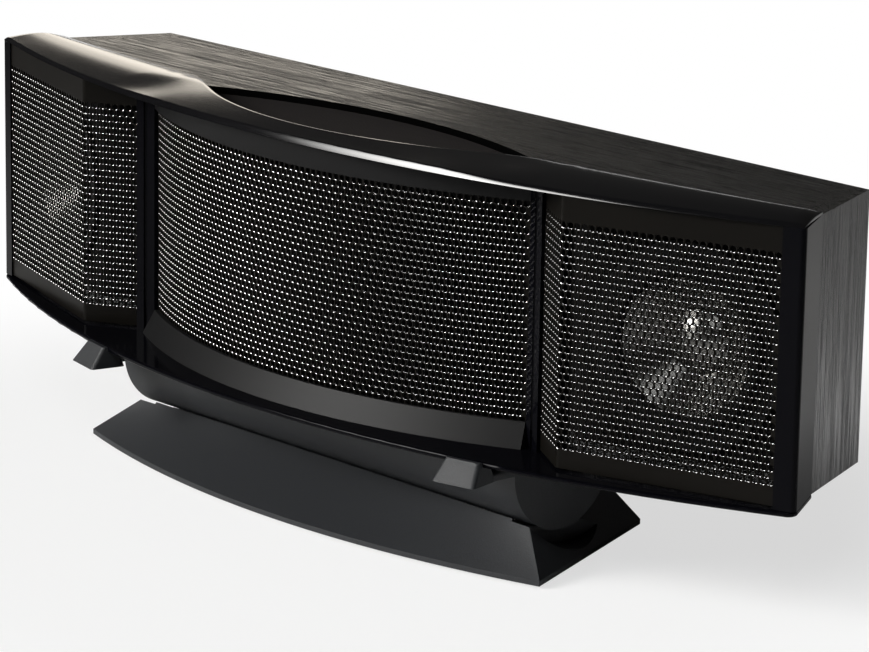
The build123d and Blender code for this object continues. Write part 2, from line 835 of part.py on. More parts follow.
def make_terminals():
    """Terminal plate on the back with two binding posts, their screw caps and a power inlet."""
    face = back_y + terminal_plate
    plate = Box(terminal_width, terminal_plate, terminal_height)
    plate = Pos(0, back_y + terminal_plate / 2, mid_height) * plate
    post_z = mid_height + terminal_rise
    inlet_z = mid_height - inlet_drop
    inlet_hole = Box(inlet_width + 2 * screw_fit, 4 * board, inlet_height + 2 * screw_fit)
    corner_x = terminal_width / 2 - terminal_margin / 2
    corner_z = terminal_height / 2 - terminal_margin / 2
    corners = [(x, mid_height + z) for x in (-corner_x, corner_x) for z in (-corner_z, corner_z)]
    plate -= Pos(0, back_y, inlet_z) * inlet_hole
    screw_holes = [along_y(screw_radius + screw_fit, x, z, back_y - board, face) for x, z in corners]
    stud_x = binding_spacing / 2
    stud_holes = [along_y(binding_radius + screw_fit, x, post_z, back_y, face) for x in (-stud_x, stud_x)]
    nodes["terminal_plate"] = plate - screw_holes - stud_holes
    nodes["rear_panel"] -= screw_holes
    screws = []
    for x, z in corners:
        shank = along_y(screw_radius, x, z, back_y - terminal_screw_grip, face)
        screws.append(shank + along_y(screw_head_radius, x, z, face, face + screw_head_height))
    nodes["terminal_screws"] = Compound(children=screws)

    nut_start = face + binding_collar + nut_seat_gap
    for name, x in (("positive", stud_x), ("negative", -stud_x)):
        stud = along_y(binding_radius, x, post_z, back_y - binding_collar, face + binding_length)
        stud += along_y(binding_collar_radius, x, post_z, face, face + binding_collar)
        nodes[name + "_post"] = stud
        place = Plane(origin=(x, nut_start, post_z), x_dir=(1, 0, 0), z_dir=(0, 1, 0))
        cap = extrude(place * RegularPolygon(nut_radius, 8), amount=nut_length)
        bore = along_y(binding_radius + nut_clearance, x, post_z, face, face + 2 * binding_length)
        nodes[name + "_nut"] = cap - bore

    flange_width = inlet_width + 2 * inlet_flange
    flange_height = inlet_height + 2 * inlet_flange
    outer = face + inlet_flange_thickness
    inlet = Pos(0, outer - inlet_depth / 2, inlet_z) * Box(inlet_width, inlet_depth, inlet_height)
    flange = Box(flange_width, inlet_flange_thickness, flange_height)
    inlet += Pos(0, (face + outer) / 2, inlet_z) * flange
    inlet -= Pos(0, outer - socket_depth / 2, inlet_z) * Box(socket_width, socket_depth, socket_height)
    for side in (-1, 1):
        x = side * socket_pin_half_spacing
        root = outer - socket_depth - socket_pin_root
        inlet += along_y(socket_pin_radius, x, inlet_z, root, outer - socket_pin_recess)
    nodes["power_inlet"] = inlet


def make_electrics():
    """Crossover board on feet, its parts, the step-up transformer and the bias supply."""
    low = floor_top + circuit_lift
    board_top = low + circuit_thickness
    centre = Pos(0, circuit_y, low + circuit_thickness / 2)
    nodes["crossover_board"] = centre * Box(circuit_width, circuit_length, circuit_thickness)
    foot_x = circuit_width / 2 - 2 * foot_radius
    foot_y = circuit_length / 2 - 2 * foot_radius
    feet = []
    for x in (-foot_x, foot_x):
        for y in (circuit_y - foot_y, circuit_y + foot_y):
            feet.append(upright(foot_radius, x, y, floor_top, low))
    nodes["board_feet"] = Compound(children=feet)
    pieces = []
    for x in (capacitor_x - capacitor_pitch, capacitor_x, capacitor_x + capacitor_pitch):
        can = along_y(capacitor_radius, x, board_top + capacitor_radius, 0, capacitor_length)
        pieces.append(Pos(0, circuit_y - capacitor_length / 2, 0) * can)
    for x in (inductor_x - inductor_pitch / 2, inductor_x + inductor_pitch / 2):
        coil = upright(inductor_radius, x, circuit_y, board_top, board_top + inductor_height)
        core = upright(inductor_hole, x, circuit_y, board_top, board_top + inductor_height)
        pieces.append(coil - core)
    nodes["crossover_parts"] = Compound(children=pieces)
    core = Box(transformer_width, transformer_length, transformer_height)
    nodes["step_up_transformer"] = Pos(-block_x, circuit_y, floor_top + transformer_height / 2) * core
    case = Box(supply_width, supply_length, supply_height)
    nodes["bias_supply"] = Pos(block_x, circuit_y, floor_top + supply_height / 2) * case


inner_post_back = panel_point(panel_radius - rail_depth, panel_angle)[1]
divider_x = return_x - screw_head_height
woofer_place = Plane(
    origin=(*wing_point(woofer_along, baffle_depth), mid_height),
    x_dir=(cos(wing_run), sin(wing_run), 0),
    z_dir=(sin(wing_run), -cos(wing_run), 0),
)

make_box()
make_inside_boards()
make_posts()
make_grilles()
make_panel()
make_trim()
make_vent_cloth()
make_woofers()
make_rocker()
make_stand()
make_terminals()
make_electrics()

os.makedirs("parts", exist_ok=True)
for name, solid in nodes.items():
    export_step(solid, os.path.join("parts", name + ".step"))
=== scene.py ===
# %% [markdown]
# # A bow-fronted center speaker on a tilt stand
# The CAD part already holds every board, sheet and screw at its true place. This lesson loads it as a
# fixed frame, gives each visible surface its finish, and remakes the few pieces whose charm lies in
# detail that solids leave out: the fine perforation, the crowned trim, the woven vent and the knobs.

import bpy
import numpy as np
from mathutils import Matrix, Vector


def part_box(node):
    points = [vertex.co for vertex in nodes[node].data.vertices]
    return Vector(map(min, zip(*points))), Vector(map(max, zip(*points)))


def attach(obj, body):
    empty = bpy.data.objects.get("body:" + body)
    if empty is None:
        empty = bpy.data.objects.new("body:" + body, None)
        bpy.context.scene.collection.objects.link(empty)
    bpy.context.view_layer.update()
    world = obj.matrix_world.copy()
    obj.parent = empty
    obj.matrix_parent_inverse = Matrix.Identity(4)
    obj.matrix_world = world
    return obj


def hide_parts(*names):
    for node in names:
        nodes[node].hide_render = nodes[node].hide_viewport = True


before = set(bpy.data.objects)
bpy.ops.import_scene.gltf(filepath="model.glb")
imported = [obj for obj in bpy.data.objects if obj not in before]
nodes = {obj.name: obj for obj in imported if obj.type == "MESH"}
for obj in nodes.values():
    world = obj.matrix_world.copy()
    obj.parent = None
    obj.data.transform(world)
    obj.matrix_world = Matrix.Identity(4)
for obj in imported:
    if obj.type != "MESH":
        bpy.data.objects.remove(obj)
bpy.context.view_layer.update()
MM = 0.001

# %% [markdown]
# ## Shader maths as plain arithmetic
# A finish is a small graph of nodes. Wiring it by hand hides the idea, so a socket is wrapped in a
# class whose operators add Math nodes. `1 - pores * 0.4` then reads like the formula that it is.


# %% Sockets that add up
class Reading:
    """One output socket that takes part in arithmetic: each operator adds a Math node."""

    def __init__(self, finish, socket):
        self.finish = finish
        self.socket = socket

    def math(self, operation, first, second):
        return self.finish.node("ShaderNodeMath", {"operation": operation}, {0: first, 1: second})

    def __add__(self, other):
        return self.math("ADD", self, other)

    def __sub__(self, other):
        return self.math("SUBTRACT", self, other)

    def __rsub__(self, other):
        return self.math("SUBTRACT", other, self)

    def __mul__(self, other):
        return self.math("MULTIPLY", self, other)

    __radd__ = __add__
    __rmul__ = __mul__


class Finish:
    """A material with one Principled shader, and the few ways of adding nodes that this lesson uses."""

    def __init__(self, name):
        self.material = bpy.data.materials.new(name)
        self.material.use_nodes = True
        self.tree = self.material.node_tree
        self.shader = self.tree.nodes["Principled BSDF"]
        self.place = self.node("ShaderNodeTexCoord", {}, {}, "Object")

    def node(self, kind, settings, values, output=0):
        """Adds a node, sets its settings first, then its sockets, and gives one of its outputs."""
        made = self.tree.nodes.new(kind)
        for key, value in settings.items():
            setattr(made, key, value)
        for key, value in values.items():
            self.feed(made.inputs[key], value)
        return Reading(self, made.outputs[output])

    def feed(self, socket, value):
        if isinstance(value, Reading):
            self.tree.links.new(value.socket, socket)
        else:
            socket.default_value = value

    def part(self, vector, axis):
        """The X, Y or Z of a vector."""
        return self.node("ShaderNodeSeparateXYZ", {}, {0: vector}, axis)

    def stretched(self, scale):
        """Object coordinates, stretched by its own factor along each axis."""
        return self.node("ShaderNodeVectorMath", {"operation": "MULTIPLY"}, {0: self.place, 1: scale})

    def noise(self, where, scale, detail=3.0, rough=0.5):
        values = {"Vector": where, "Scale": scale, "Detail": detail, "Roughness": rough}
        return self.node("ShaderNodeTexNoise", {}, values)

    def between(self, value, low, high):
        """Maps a reading from low..high to 0..1, with a soft step."""
        values = {"Value": value, "From Min": low, "From Max": high}
        return self.node("ShaderNodeMapRange", {"interpolation_type": "SMOOTHSTEP"}, values)

    def blend(self, factor, *colours):
        """Mixes two colours, each three numbers or a reading."""
        first, second = (c if isinstance(c, Reading) else (*c, 1) for c in colours)
        values = {0: factor, 6: first, 7: second}
        return self.node("ShaderNodeMix", {"data_type": "RGBA"}, values, 2)

    def bump(self, height, strength, distance):
        values = {"Height": height, "Strength": strength, "Distance": distance}
        return self.node("ShaderNodeBump", {}, values)

    def set(self, **values):
        """Feeds the Principled shader: base_color is its Base Color, and so on."""
        for key, value in values.items():
            label = key.replace("_", " ").title().replace("Ior", "IOR")
            self.feed(self.shader.inputs[label], value)
        return self

    def cover(self, factor, shader):
        """Lays another shader over the Principled one, by a factor."""
        plain = Reading(self, self.shader.outputs[0])
        skin = self.node("ShaderNodeMixShader", {}, {0: factor, 1: plain, 2: shader})
        self.feed(self.tree.nodes["Material Output"].inputs["Surface"], skin)


def paint(finish, *names):
    """Gives CAD nodes a finish: their meshes stay as they are, only the material slot changes."""
    for name in names:
        slots = nodes[name].data.materials
        slots.clear()
        slots.append(finish.material)
    print(finish.material.name, "on", len(names), "nodes")


# %% [markdown]
# ## Black open-grain veneer
# The box wears black-stained ash. Ash has long open pores that stay matt and dark in the lacquer, in
# bands that wander a little. Noise that is stretched along the grain gives both: a broad one for the
# bands and a fine one, cut hard, for the pores. The pores also press into the surface through a bump.
# On the sawn edge of the vent a matt black is painted over the veneer: painted shade, for the gap there
# that lies in shadow.

# %% Veneer
BANDS_ACROSS, BANDS_ALONG = 260.0, 2.0
PORES_ACROSS, PORES_ALONG = 1500.0, 16.0
PORE_COLOUR = (0.003, 0.003, 0.003)
# Painted shade on the vent's cut edge: its colour, how steep a face must be, and how far back it
# reaches.
VENT_EDGE_SHADE_COLOUR = (0.001, 0.001, 0.001, 1)
STEEP = (0.3, 0.7)
PAINTED_SHADE_UNTIL_Y = (0.06, 0.08)


def drawn_out(axis, across, along):
    """Scale factors that draw a pattern out along one axis."""
    return [along if index == axis else across for index in range(3)]


def veneer(name, axis, shaded_cut_edges=False):
    """Ash veneer whose grain runs along an axis; cut edges of the vent get painted shade, a matt black.
    """
    made = Finish(name)
    sway = made.noise(made.place, 5.0, 2.0)
    bands = made.noise(made.stretched(drawn_out(axis, BANDS_ACROSS, BANDS_ALONG)), 1.0, 4.0, 0.6)
    streaks = made.noise(made.stretched(drawn_out(axis, PORES_ACROSS, PORES_ALONG)), 1.0, 2.0, 0.7)
    pores = made.between(streaks + bands * 0.3, 0.62, 0.76)
    tone = made.between(bands + sway * 0.3, 0.45, 0.95)
    colour = made.blend(tone, (0.0050, 0.0047, 0.0044), (0.0085, 0.0079, 0.0072))
    made.set(
        base_color=made.blend(pores * 0.8, colour, PORE_COLOUR),
        roughness=0.22 + pores * 0.30 + bands * 0.08,
        normal=made.bump(1 - pores + bands * 0.15, 0.6, 0.0004),
        specular_ior_level=0.9,
    )
    # Painted shade: upright faces of the vent's cut edge get a matt black in place of the lit veneer.
    if shaded_cut_edges:
        facing = made.node("ShaderNodeNewGeometry", {}, {}, "Normal")
        upright = 1 - made.between(made.part(facing, "Z"), *STEEP)
        in_vent = 1 - made.between(made.part(made.place, "Y"), *PAINTED_SHADE_UNTIL_Y)
        painted_shade = made.node("ShaderNodeBsdfDiffuse", {}, {"Color": VENT_EDGE_SHADE_COLOUR})
        made.cover(upright * in_vent, painted_shade)
    return made


top_veneer = veneer("black_ash_lengthwise", 0, shaded_cut_edges=True)
back_veneer = veneer("black_ash_back", 0)
side_veneer = veneer("black_ash_upright", 2)
paint(top_veneer, "top_panel")
paint(back_veneer, "bottom_panel", "rear_panel")
paint(side_veneer, "left_side_panel", "right_side_panel")

# %% [markdown]
# ## Polished black
# The trim is a polished black moulding. A perfect mirror looks like a computer picture, so the polish
# gets a slow orange-peel ripple and faint wipe marks in the roughness. Posts and bottom plate are the
# same polish, made as a darker copy that hardly mirrors: painted shade, to keep them as dark as the
# dim surroundings that they would mirror. The rails over and under the panel are satin.

# %% Polished black
polish = Finish("polished_black")
ripple = polish.noise(polish.place, 160.0, 2.0)
wipe = polish.noise(polish.stretched((14.0, 60.0, 60.0)), 1.0, 5.0, 0.65)
polish.set(
    base_color=polish.blend(wipe, (0.0020, 0.0020, 0.0026), (0.0036, 0.0035, 0.0040)),
    roughness=0.08 + wipe * 0.06,
    normal=polish.bump(ripple, 0.012, 0.0004),
    specular_ior_level=0.38,
)

# Painted shade: a darker copy of the polish, one that hardly mirrors, for posts and plate.
shaded_polish = Finish("polished_black_painted_shade")
smear = shaded_polish.noise(shaded_polish.stretched((40.0, 40.0, 8.0)), 1.0, 5.0, 0.6)
shaded_polish.set(
    base_color=shaded_polish.blend(smear, (0.0012, 0.0012, 0.0020), (0.0024, 0.0024, 0.0034)),
    roughness=0.08 + smear * 0.08,
    specular_ior_level=0.05,
)
paint(shaded_polish, "bottom_plate", "left_end_post", "right_end_post", "left_inner_post", "right_inner_post")

satin = Finish("satin_rail")
grain = satin.noise(satin.place, 900.0, 3.0)
satin.set(
    base_color=satin.blend(grain, (0.0028, 0.0028, 0.0030), (0.0048, 0.0048, 0.0050)),
    roughness=0.42 + grain * 0.12,
    normal=satin.bump(grain, 0.10, 0.0002),
    specular_ior_level=0.12,
)
paint(satin, "bottom_rail", "top_rail")

# %% [markdown]
# ## Coated steel
# The perforated sheets are punched first and coated after. The sheets carry a number at each point,
# `rim`, highest on the lower rim of each hole, and a glossy clear coat follows it: a painted highlight,
# laid there so that the lamp draws a small light stroke on each hole. The rest has a slight orange peel
# and soft patches of dust.

# %% Coated steel
coated = Finish("coated_steel")
peel = coated.noise(coated.place, 420.0, 2.0)
dust = coated.noise(coated.place, 14.0, 4.0)
# Painted highlight: the clear coat follows `rim`, so the gloss sits on the lower rims only.
rim = coated.node("ShaderNodeAttribute", {"attribute_name": "rim"}, {}, "Fac")
coated.set(
    base_color=coated.blend(dust, (0.0034, 0.0030, 0.0025), (0.0060, 0.0053, 0.0043)),
    roughness=0.24 + dust * 0.14,
    normal=coated.bump(peel, 0.05, 0.0003),
    specular_ior_level=0.06,
    coat_weight=coated.between(rim, 0.1, 0.5),
    coat_ior=3.8,
    coat_roughness=0.12,
)
paint(coated, "rear_stator")

# %% [markdown]
# ## Textured charcoal
# Base and rocker wear a textured paint: tiny grains that sparkle a little in grazing light. A fine cell
# pattern gives the grains, and noise breaks up their size.

# %% Textured charcoal
charcoal = Finish("textured_charcoal")
GRAIN_SCALE = 2600.0
spots = {"Vector": charcoal.place, "Scale": GRAIN_SCALE}
cells = charcoal.node("ShaderNodeTexVoronoi", {"feature": "F1"}, spots)
clumps = charcoal.noise(charcoal.place, 900.0, 4.0, 0.7)
grains = charcoal.between(clumps - cells * 0.25, 0.20, 0.65)
charcoal.set(
    base_color=charcoal.blend(grains, (0.0090, 0.0098, 0.0114), (0.0205, 0.0227, 0.0257)),
    roughness=0.46 + grains * 0.12,
    normal=charcoal.bump(grains, 0.30, 0.0002),
    specular_ior_level=0.40,
)
paint(charcoal, "base", "tilt_rocker")

# %% [markdown]
# ## Small finishes
# The rest is seen through the holes, under the stand or at the back: rubber, felt, spun aluminium,
# copper, brass, circuit board and moulded plastic. Each is a two-tone noise at that material's scale.


# %% Small finishes
def mottled(name, low, high, scale, rough, metal=0.0, relief=0.0, stretch=(1, 1, 1), shine=0.5):
    """A finish that wavers between two tones, with roughness and relief that follow the same noise."""
    made = Finish(name).set(specular_ior_level=shine)
    waver = made.noise(made.stretched(stretch), scale, 4.0)
    made.set(base_color=made.blend(waver, low, high), metallic=metal)
    made.set(roughness=rough - 0.06 + waver * 0.12)
    if relief:
        made.set(normal=made.bump(waver, relief, 0.0004))
    return made


bare_board = mottled(
    "painted_board", (0.0030, 0.0028, 0.0027), (0.0055, 0.0052, 0.0050),
    300.0, 0.85, relief=0.3, shine=0.1,
)
paint(bare_board, "left_divider", "right_divider", "left_baffle", "right_baffle")
rubber = mottled(
    "moulded_rubber", (0.004, 0.004, 0.004), (0.008, 0.008, 0.008),
    500.0, 0.75, relief=0.2, shine=0.15,
)
paint(rubber, "base_mat", "left_woofer_surround", "right_woofer_surround")
felt = mottled(
    "pressed_felt", (0.008, 0.008, 0.009), (0.030, 0.030, 0.032),
    1400.0, 0.95, relief=0.8,
)
paint(felt, "cradle_liner")
spun = mottled(
    "dark_spun_cone", (0.200, 0.196, 0.187), (0.260, 0.255, 0.243),
    700.0, 0.26, metal=1.0, relief=0.05,
)
paint(spun, "left_woofer_cone", "right_woofer_cone", "left_woofer_cap", "right_woofer_cap")
casting = mottled(
    "black_casting", (0.004, 0.004, 0.0042), (0.008, 0.008, 0.0083),
    600.0, 0.6, relief=0.3, shine=0.15,
)
paint(casting, "left_woofer_frame", "right_woofer_frame")
magnets = mottled(
    "sintered_grey", (0.035, 0.035, 0.036), (0.06, 0.06, 0.06),
    800.0, 0.6, relief=0.2,
)
paint(magnets, "left_woofer_magnet", "right_woofer_magnet", "step_up_transformer")
turned = mottled("turned_steel", (0.40, 0.40, 0.40), (0.50, 0.50, 0.50), 500.0, 0.32, metal=1.0)
paint(turned, "left_woofer_pole", "right_woofer_pole")
winding = mottled("copper_winding", (0.42, 0.16, 0.07), (0.55, 0.24, 0.12), 900.0, 0.35, metal=1.0)
paint(winding, "left_woofer_coil", "right_woofer_coil")
treated = mottled("treated_cloth", (0.28, 0.19, 0.08), (0.36, 0.26, 0.12), 1100.0, 0.9, relief=0.6)
paint(treated, "left_woofer_spider", "right_woofer_spider")
black_screw = mottled(
    "black_oxide", (0.012, 0.012, 0.013), (0.022, 0.022, 0.023),
    900.0, 0.4, metal=0.6,
)
paint(black_screw, "left_woofer_screws", "right_woofer_screws", "rocker_screws", "terminal_screws")
film = mottled(
    "dark_film", (0.0012, 0.0012, 0.0012), (0.0020, 0.0019, 0.0018),
    40.0, 0.35, shine=0.05,
)
paint(film, "diaphragm", "stator_spacers")
mask_green = mottled("solder_mask", (0.010, 0.050, 0.022), (0.020, 0.085, 0.036), 220.0, 0.4)
paint(mask_green, "crossover_board")
moulded = mottled(
    "moulded_black", (0.010, 0.010, 0.011), (0.020, 0.020, 0.021),
    700.0, 0.5, relief=0.2,
)
paint(moulded, "crossover_parts", "board_feet", "bias_supply", "power_inlet")
anodised = mottled(
    "anodised_plate", (0.020, 0.020, 0.021), (0.032, 0.032, 0.033),
    600.0, 0.42, 0.8, 0.08, (1, 1, 12),
)
paint(anodised, "terminal_plate")
gilt = mottled("gilt_brass", (0.62, 0.42, 0.14), (0.75, 0.54, 0.20), 500.0, 0.25, metal=1.0)
paint(gilt, "positive_post", "negative_post")

# %% [markdown]
# ## Meshes from arrays
# Each new piece is a function of two parameters on a grid, worked out as whole arrays. The helper puts
# the arrays into a mesh, welds the seams, smooths all but the sharp edges and hangs it on its body.


# %% Array to mesh
def piece(name, points, faces, body, slot, finish, stands_for, sharp=35.0, rims=None):
    """Makes an object from arrays of points (metres) and faces, in the place that the points give."""
    mesh = bpy.data.meshes.new(name)
    mesh.from_pydata(points, [], sound(faces))
    made = bpy.data.objects.new(name, mesh)
    bpy.context.scene.collection.objects.link(made)
    mesh.materials.append(finish.material)
    mesh.polygons.foreach_set("use_smooth", np.ones(len(mesh.polygons), dtype=bool))
    mesh.set_sharp_from_angle(angle=np.radians(sharp))
    if rims is not None:
        soften(mesh, rims)
    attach(made, body)
    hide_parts(*stands_for)
    print(name, len(mesh.vertices), "points,", len(mesh.polygons), "faces")
    return made


def soften(mesh, rims):
    """Shades the edges of punched holes as round, and writes the rims, with their painted highlight
    weight, down for the finish.
    """
    ends = np.empty(2 * len(mesh.edges), dtype=np.int32)
    mesh.edges.foreach_get("vertices", ends)
    hard = np.empty(len(mesh.edges), dtype=bool)
    marks = mesh.attributes["sharp_edge"].data
    marks.foreach_get("value", hard)
    marks.foreach_set("value", hard & ~(rims[ends.reshape(-1, 2)] > 0).all(axis=1))
    mesh.attributes.new("rim", "FLOAT", "POINT").data.foreach_set("value", rims.astype(np.float32))


def sound(quads):
    """Lists of corners: a quad that a weld has closed to a triangle loses the doubled corner."""
    doubled = quads == np.roll(quads, -1, axis=1)
    count = doubled.sum(axis=1)
    triangles = quads[count == 1][~doubled[count == 1]].reshape(-1, 3)
    return quads[count == 0].tolist() + triangles.tolist()


OFF_STEP = 0.1  # keeps points of a regular grid from falling half-way between two steps


def welded(points, faces, step=1e-6):
    """Merges points that fall on the same spot; also gives each kept point's first index."""
    key = np.round(points / step + OFF_STEP).astype(np.int64)
    _, first, inverse = np.unique(key, axis=0, return_index=True, return_inverse=True)
    return points[first], inverse.reshape(-1)[faces], first


def quads_of_grid(rows, columns, start=0):
    """Faces of a grid of points, as index arithmetic."""
    i = np.arange(rows - 1)[:, None] * columns + np.arange(columns - 1)[None, :]
    corners = np.stack([i, i + 1, i + columns + 1, i + columns], axis=-1)
    return corners.reshape(-1, 4) + start


# %% [markdown]
# ## True perforation
# The steel has round holes on a staggered grid: 5/32 inch holes at a 3/16 inch pitch. A boolean with
# thousands of holes is slow and leaves ragged triangles. Here each hole gets its own brick: a rectangle
# with twelve points on its edge and twelve on the circle. Bricks of neighbouring rows are offset by
# half a pitch, and their edge points still meet, so the whole sheet welds into one closed skin.

# %% Bricks with round holes
PITCH = 25.4 * 3 / 16
ROW = PITCH * np.sqrt(3) / 2
HOLE = 25.4 * 5 / 64
TURN = np.arange(12) * np.pi / 6
ROUND = np.stack([np.cos(TURN), np.sin(TURN)], axis=-1) * HOLE
EDGE_X = np.array([2, 2, 1, 0, -1, -2, -2, -2, -1, 0, 1, 2]) / 4
EDGE_Z = np.array([0, 1, 1, 1, 1, 1, 0, -1, -1, -1, -1, -1]) / 2
BRICK = np.stack([EDGE_X * PITCH, EDGE_Z * ROW], axis=-1)
BRICK_POINTS = 4 * len(TURN)
RIM_MARK = 0.001
# Painted highlight: the clear coat's weight round each hole, high on the lower rim only.
LOWER_RIM_GLINT = np.clip(-1.2 - 2.2 * np.sin(TURN), RIM_MARK, 1)
SHEET_WELD = 1e-4


def two_skins(flat, quads, depth):
    """A flat patch of quads, once at the front and once, turned over, at the back."""
    front = np.column_stack([flat, np.zeros(len(flat))])
    back = np.column_stack([flat, np.full(len(flat), depth)])
    return np.vstack([front, back]), np.vstack([quads, quads[:, ::-1] + len(flat)])


def patch(u, z):
    """Grid of quads over breaks in u and z."""
    flat = np.stack(np.meshgrid(u, z), axis=-1).reshape(-1, 2)
    return flat, quads_of_grid(len(z), len(u))


def perforated_sheet(u_span, z_span, columns, rows, depth, shift):
    """Points (u, z, depth), faces and hole rims (weighted for a painted highlight on each lower rim) of
    a sheet with a field of staggered holes.
    """
    u0 = (u_span[0] + u_span[1] - columns * PITCH) / 2
    z0 = (z_span[0] + z_span[1] - rows * ROW) / 2 + shift
    column, row = np.meshgrid(np.arange(columns), np.arange(rows))
    odd = row % 2 == 1
    keep = ~(odd & (column == columns - 1))
    centre = np.stack([u0 + (column + 0.5 + 0.5 * odd) * PITCH, z0 + (row + 0.5) * ROW], axis=-1)[keep]
    count = len(centre)
    rings = [(BRICK, 0.0), (ROUND, 0.0), (ROUND, depth), (BRICK, depth)]
    flat = np.stack([centre[:, None, :] + ring for ring, _ in rings], axis=1)
    deep = np.broadcast_to(np.array([d for _, d in rings])[None, :, None, None], (count, 4, 12, 1))
    points = [np.concatenate([flat, deep], axis=-1).reshape(-1, 3)]
    k = np.arange(12)
    near = np.stack([k, (k + 1) % 12, (k + 1) % 12 + 12, k + 12], axis=-1)
    block = np.vstack([near, near + 12, near + 24])
    faces = [(block[None] + BRICK_POINTS * np.arange(count)[:, None, None]).reshape(-1, 4)]
    used = len(points[0])
    u_field = u0 + np.arange(4 * columns + 1) * PITCH / 4
    z_field = z0 + np.arange(2 * rows + 1) * ROW / 2
    u_all = np.concatenate([[u_span[0]], u_field, [u_span[1]]])
    patches = [patch(u_all, [z_span[0], z_field[0]]), patch(u_all, [z_field[-1], z_span[1]])]
    patches += [patch([u_span[0], u_field[0]], z_field), patch([u_field[-1], u_span[1]], z_field)]
    for low in z_field[2:-1:4]:
        ends = np.array([low, low + ROW / 2, low + ROW])
        patches += [patch(u_field[:3], ends), patch(u_field[-3:], ends)]
    for flat, quads in patches:
        skin, around = two_skins(flat, quads, depth)
        points.append(skin)
        faces.append(around + used)
        used += len(skin)
    z_all = np.concatenate([[z_span[0]], z_field, [z_span[1]]])
    loop = [np.column_stack([u_all, np.full(len(u_all), z_span[0])])]
    loop.append(np.column_stack([np.full(len(z_all), u_span[1]), z_all]))
    loop.append(np.column_stack([u_all[::-1], np.full(len(u_all), z_span[1])]))
    loop.append(np.column_stack([np.full(len(z_all), u_span[0]), z_all[::-1]]))
    rim = np.vstack(loop)
    wall = np.vstack([np.column_stack([rim, np.full(len(rim), d)]) for d in (0.0, depth)])
    points.append(wall)
    faces.append(quads_of_grid(2, len(rim), used)[:, ::-1])
    punched = np.zeros(used + len(wall))
    # Painted highlight weight on the lower rim of each hole.
    punched[: BRICK_POINTS * count].reshape(count, 4, 12)[:, 1:3] = LOWER_RIM_GLINT
    points, faces, first = welded(np.vstack(points), np.vstack(faces), SHEET_WELD)
    return points, faces, punched[first]


# %% [markdown]
# ## The curved stator
# The middle of the front is a steel sheet rolled about an upright axis. The flat pattern has arc length
# across and height up, so rolling it is one formula: the angle is the arc length over the radius.

# %% Front stator
PANEL_RADIUS = 380.0
PANEL_HALF = 176.7
PANEL_AXIS_Y = -19.4 + np.sqrt(PANEL_RADIUS**2 - PANEL_HALF**2)
STATOR_Z = [v * 1000 for v in (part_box("front_stator")[0][2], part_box("front_stator")[1][2])]
STATOR = 1.5
STATOR_FIELD = (77, 33)
STATOR_SHIFT = -1.0
panel_arc = PANEL_RADIUS * np.arcsin(PANEL_HALF / PANEL_RADIUS)


def rolled(flat):
    """Flat pattern (u, z, depth) rolled on the panel's radius."""
    angle = flat[:, 0] / PANEL_RADIUS
    radius = PANEL_RADIUS - flat[:, 2]
    x = radius * np.sin(angle)
    y = PANEL_AXIS_Y - radius * np.cos(angle)
    return np.column_stack([x, y, flat[:, 1]]) * MM


stator_span = (-panel_arc, panel_arc)
flat, faces, rims = perforated_sheet(stator_span, STATOR_Z, *STATOR_FIELD, STATOR, STATOR_SHIFT)
steel = ("speaker", "perforated_steel", coated)
piece("stator_mesh", rolled(flat), faces, *steel, ["front_stator"], rims=rims)

# %% [markdown]
# ## The bent wing grilles
# Each wing's sheet runs flat from the end post, turns a tight corner on a press brake and runs back to
# the inner post. The path is two straight lines and an arc; depth is measured square to it.

# %% Wing grilles
WING = np.radians(17.0)
RETURN = np.radians(30.0)
CORNER = np.array([376.0, 2.0])
POST_FACE = 14.5
BEND_X = 226.3
RETURN_X = 192.1
BEND_RADIUS = 5.0
RECESS = 1.0
SHEET = 1.2
WING_FIELD = (38, 33)
WING_SHIFT = -1.9
GRILLE_Z = [v * 1000 for v in (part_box("right_grille")[0][2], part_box("right_grille")[1][2])]
face_length = (CORNER[0] - BEND_X) / np.cos(WING)
return_length = (BEND_X - RETURN_X) / np.cos(RETURN)


def bent(flat):
    """Flat pattern (u, z, depth), with u from the post's edge, bent round the wing's corner."""
    u, z, depth = flat.T
    turn = WING + RETURN
    tangent = BEND_RADIUS * np.tan(turn / 2)
    start = face_length - tangent
    angle = np.clip((u - start) / BEND_RADIUS, 0, turn)
    heading = WING - angle
    straight = np.minimum(u, start)
    after = np.maximum(u - start - BEND_RADIUS * turn, 0)
    x = CORNER[0] - straight * np.cos(WING) - BEND_RADIUS * (np.sin(WING) - np.sin(heading))
    x -= after * np.cos(RETURN)
    y = CORNER[1] - straight * np.sin(WING) + BEND_RADIUS * (np.cos(WING) - np.cos(heading))
    y += after * np.sin(RETURN)
    depth = depth + RECESS
    x -= depth * np.sin(heading)
    y += depth * np.cos(heading)
    return np.column_stack([x, y, z]) * MM


bend_saving = 2 * BEND_RADIUS * np.tan((WING + RETURN) / 2) - BEND_RADIUS * (WING + RETURN)
wing_span = (POST_FACE, face_length + return_length - bend_saving)
flat, faces, rims = perforated_sheet(wing_span, GRILLE_Z, *WING_FIELD, SHEET, WING_SHIFT)
right_wing = bent(flat)
left_wing = right_wing * np.array([-1, 1, 1])
piece("right_wing_mesh", right_wing, faces[:, ::-1], *steel, ["right_grille"], rims=rims)
piece("left_wing_mesh", left_wing, faces, *steel, ["left_grille"], rims=rims)

# %% [markdown]
# ## The crowned trim
# A polished moulding runs along the whole top front. Its front edge is one long bow, and its rear edge
# follows the vent's leaf shape in the middle and the straight seam beyond. The section changes on the
# way: a steep nose, then along the vent a straight rise to a rolled lip, and towards the ends an arch
# that falls to the rear. The surface is a grid over the bow (across) and the section (front to back).

